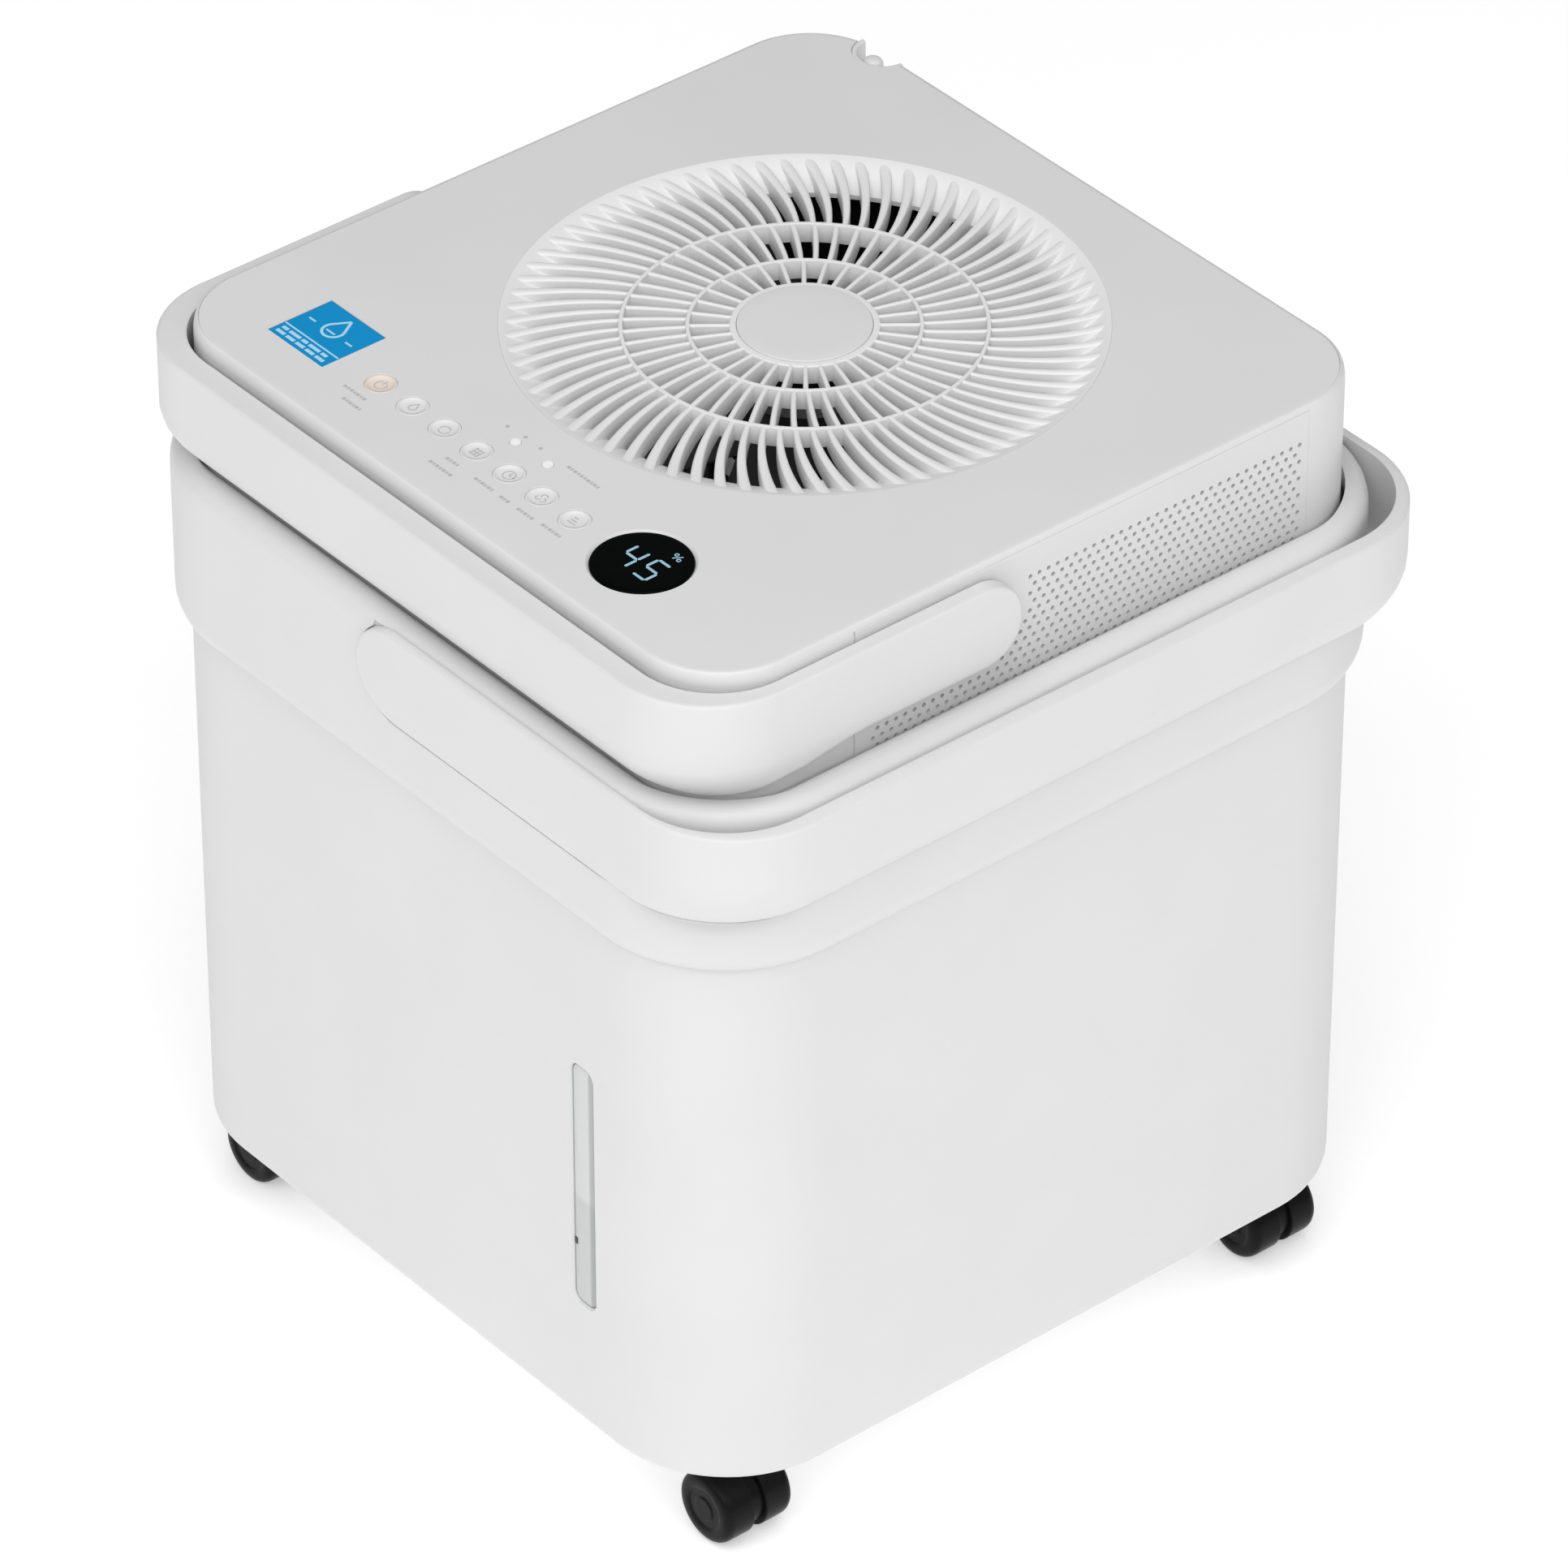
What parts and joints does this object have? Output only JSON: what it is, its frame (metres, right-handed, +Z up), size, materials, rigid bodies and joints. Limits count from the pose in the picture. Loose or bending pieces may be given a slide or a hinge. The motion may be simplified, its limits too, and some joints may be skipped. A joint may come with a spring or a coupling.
{
  "type": "dehumidifier",
  "caption": "Cube dehumidifier: square head with a round top air outlet and touch controls, nested in a water bucket on casters, with two carrying handles.",
  "frame": {"origin": "on the floor at the centre of the outline box", "axes": "+Z up; -Y towards the front with the control row and the water window; +X towards the air intake"},
  "size_m": [0.3806, 0.3746, 0.428],
  "materials": {
    "white_shell": "satin moulded white plastic, fine grain",
    "white_top": "satin moulded white plastic",
    "white_button": "satin plastic button",
    "button_tint": "satin plastic button with a warm tint",
    "white_inner": "plain moulded plastic",
    "clear_window": "clear moulded plastic",
    "steel": "plain steel",
    "gloss_black": "gloss black lens",
    "circuit_board": "green circuit board",
    "blue_label": "printed blue label",
    "grey_plastic": "grey plastic",
    "aluminium": "pressed fins",
    "black_metal": "black painted steel",
    "rubber": "matt rubber",
    "copper": "copper tube",
    "black_plastic": "satin black nylon"
  },
  "bodies": {
    "bucket_body": {"bucket": "white_shell", "water_window": "clear_window", "bucket_handle_pin_back": "steel", "bucket_handle_pin_front": "steel", "caster_front_left_stem": "steel", "caster_front_right_stem": "steel", "caster_back_left_stem": "steel", "caster_back_right_stem": "steel"},
    "head": {"head_shell": "white_shell", "top_panel": "white_top", "outlet_grille": "white_top", "grille_hub_cap": "white_top", "display_lens": "gloss_black", "indicator_light_guide": "clear_window", "control_board": "circuit_board", "info_label": "blue_label", "intake_panel": "white_shell", "air_filter": "grey_plastic", "cord_outlet": "white_inner", "head_handle_pin_right": "steel", "head_handle_pin_left": "steel", "head_base": "white_inner", "drip_tray": "white_inner", "evaporator_coil": "aluminium", "condenser_coil": "aluminium", "compressor": "black_metal", "compressor_mount": "rubber", "discharge_pipe": "copper", "suction_pipe": "copper", "fan_shroud": "black_plastic", "fan_motor": "steel", "motor_bracket": "steel"},
    "head_bail": {"head_handle": "white_shell"},
    "bucket_bail": {"bucket_handle": "white_shell"},
    "fan_rotor": {"fan_impeller": "grey_plastic", "motor_shaft": "steel"},
    "float": {"water_float": "grey_plastic"},
    "press_power": {"button_power": "button_tint"},
    "press_pump": {"button_pump": "white_button"},
    "press_continuous": {"button_continuous": "white_button"},
    "press_filter": {"button_filter": "white_button"},
    "press_timer": {"button_timer": "white_button"},
    "press_fan": {"button_fan": "white_button"},
    "press_mode": {"button_mode": "white_button"},
    "front_left_caster": {"caster_front_left_hood": "black_plastic"},
    "front_left_wheels": {"caster_front_left_axle": "steel", "caster_front_left_wheel_a": "black_plastic", "caster_front_left_wheel_b": "black_plastic"},
    "front_right_caster": {"caster_front_right_hood": "black_plastic"},
    "front_right_wheels": {"caster_front_right_axle": "steel", "caster_front_right_wheel_a": "black_plastic", "caster_front_right_wheel_b": "black_plastic"},
    "back_left_caster": {"caster_back_left_hood": "black_plastic"},
    "back_left_wheels": {"caster_back_left_axle": "steel", "caster_back_left_wheel_a": "black_plastic", "caster_back_left_wheel_b": "black_plastic"},
    "back_right_caster": {"caster_back_right_hood": "black_plastic"},
    "back_right_wheels": {"caster_back_right_axle": "steel", "caster_back_right_wheel_a": "black_plastic", "caster_back_right_wheel_b": "black_plastic"}
  },
  "joints": [
    {"name": "head_lift", "type": "slide", "parent": "bucket_body", "child": "head", "axis": [0, 0, 1], "range_m": [0, 0.45]},
    {"name": "head_handle_swing", "type": "hinge", "parent": "head", "child": "head_bail", "pos_m": [-0.0056, -0.0394, 0.4035], "axis": [-1, 0, 0], "range_deg": [0, 90]},
    {"name": "bucket_handle_swing", "type": "hinge", "parent": "bucket_body", "child": "bucket_bail", "pos_m": [-0.0056, 0, 0.358], "axis": [0, -1, 0], "range_deg": [0, 90]},
    {"name": "fan_spin", "type": "hinge", "parent": "head", "child": "fan_rotor", "pos_m": [-0.0056, 0.019, 0.394], "axis": [0, 0, 1], "continuous": true},
    {"name": "float_rise", "type": "slide", "parent": "head", "child": "float", "axis": [0, 0, 1], "range_m": [0, 0.0115]},
    {"name": "press_power_button", "type": "slide", "parent": "head", "child": "press_power", "axis": [0, 0, -1], "range_m": [0, 0.0008], "stiffness_N_per_m": 400},
    {"name": "press_pump_button", "type": "slide", "parent": "head", "child": "press_pump", "axis": [0, 0, -1], "range_m": [0, 0.0008], "stiffness_N_per_m": 400},
    {"name": "press_continuous_button", "type": "slide", "parent": "head", "child": "press_continuous", "axis": [0, 0, -1], "range_m": [0, 0.0008], "stiffness_N_per_m": 400},
    {"name": "press_filter_button", "type": "slide", "parent": "head", "child": "press_filter", "axis": [0, 0, -1], "range_m": [0, 0.0008], "stiffness_N_per_m": 400},
    {"name": "press_timer_button", "type": "slide", "parent": "head", "child": "press_timer", "axis": [0, 0, -1], "range_m": [0, 0.0008], "stiffness_N_per_m": 400},
    {"name": "press_fan_button", "type": "slide", "parent": "head", "child": "press_fan", "axis": [0, 0, -1], "range_m": [0, 0.0008], "stiffness_N_per_m": 400},
    {"name": "press_mode_button", "type": "slide", "parent": "head", "child": "press_mode", "axis": [0, 0, -1], "range_m": [0, 0.0008], "stiffness_N_per_m": 400},
    {"name": "front_left_swivel", "type": "hinge", "parent": "bucket_body", "child": "front_left_caster", "pos_m": [-0.1436, -0.1395, 0.036], "axis": [0, 0, 1], "continuous": true},
    {"name": "front_left_roll", "type": "hinge", "parent": "front_left_caster", "child": "front_left_wheels", "pos_m": [-0.1536, -0.1395, 0.0158], "axis": [0, 1, 0], "continuous": true},
    {"name": "front_right_swivel", "type": "hinge", "parent": "bucket_body", "child": "front_right_caster", "pos_m": [0.1324, -0.1395, 0.036], "axis": [0, 0, 1], "continuous": true},
    {"name": "front_right_roll", "type": "hinge", "parent": "front_right_caster", "child": "front_right_wheels", "pos_m": [0.1424, -0.1395, 0.0158], "axis": [0, 1, 0], "continuous": true},
    {"name": "back_left_swivel", "type": "hinge", "parent": "bucket_body", "child": "back_left_caster", "pos_m": [-0.1436, 0.1395, 0.036], "axis": [0, 0, 1], "continuous": true},
    {"name": "back_left_roll", "type": "hinge", "parent": "back_left_caster", "child": "back_left_wheels", "pos_m": [-0.1536, 0.1395, 0.0158], "axis": [0, 1, 0], "continuous": true},
    {"name": "back_right_swivel", "type": "hinge", "parent": "bucket_body", "child": "back_right_caster", "pos_m": [0.1324, 0.1395, 0.036], "axis": [0, 0, 1], "continuous": true},
    {"name": "back_right_roll", "type": "hinge", "parent": "back_right_caster", "child": "back_right_wheels", "pos_m": [0.1424, 0.1395, 0.0158], "axis": [0, 1, 0], "continuous": true}
  ]
}
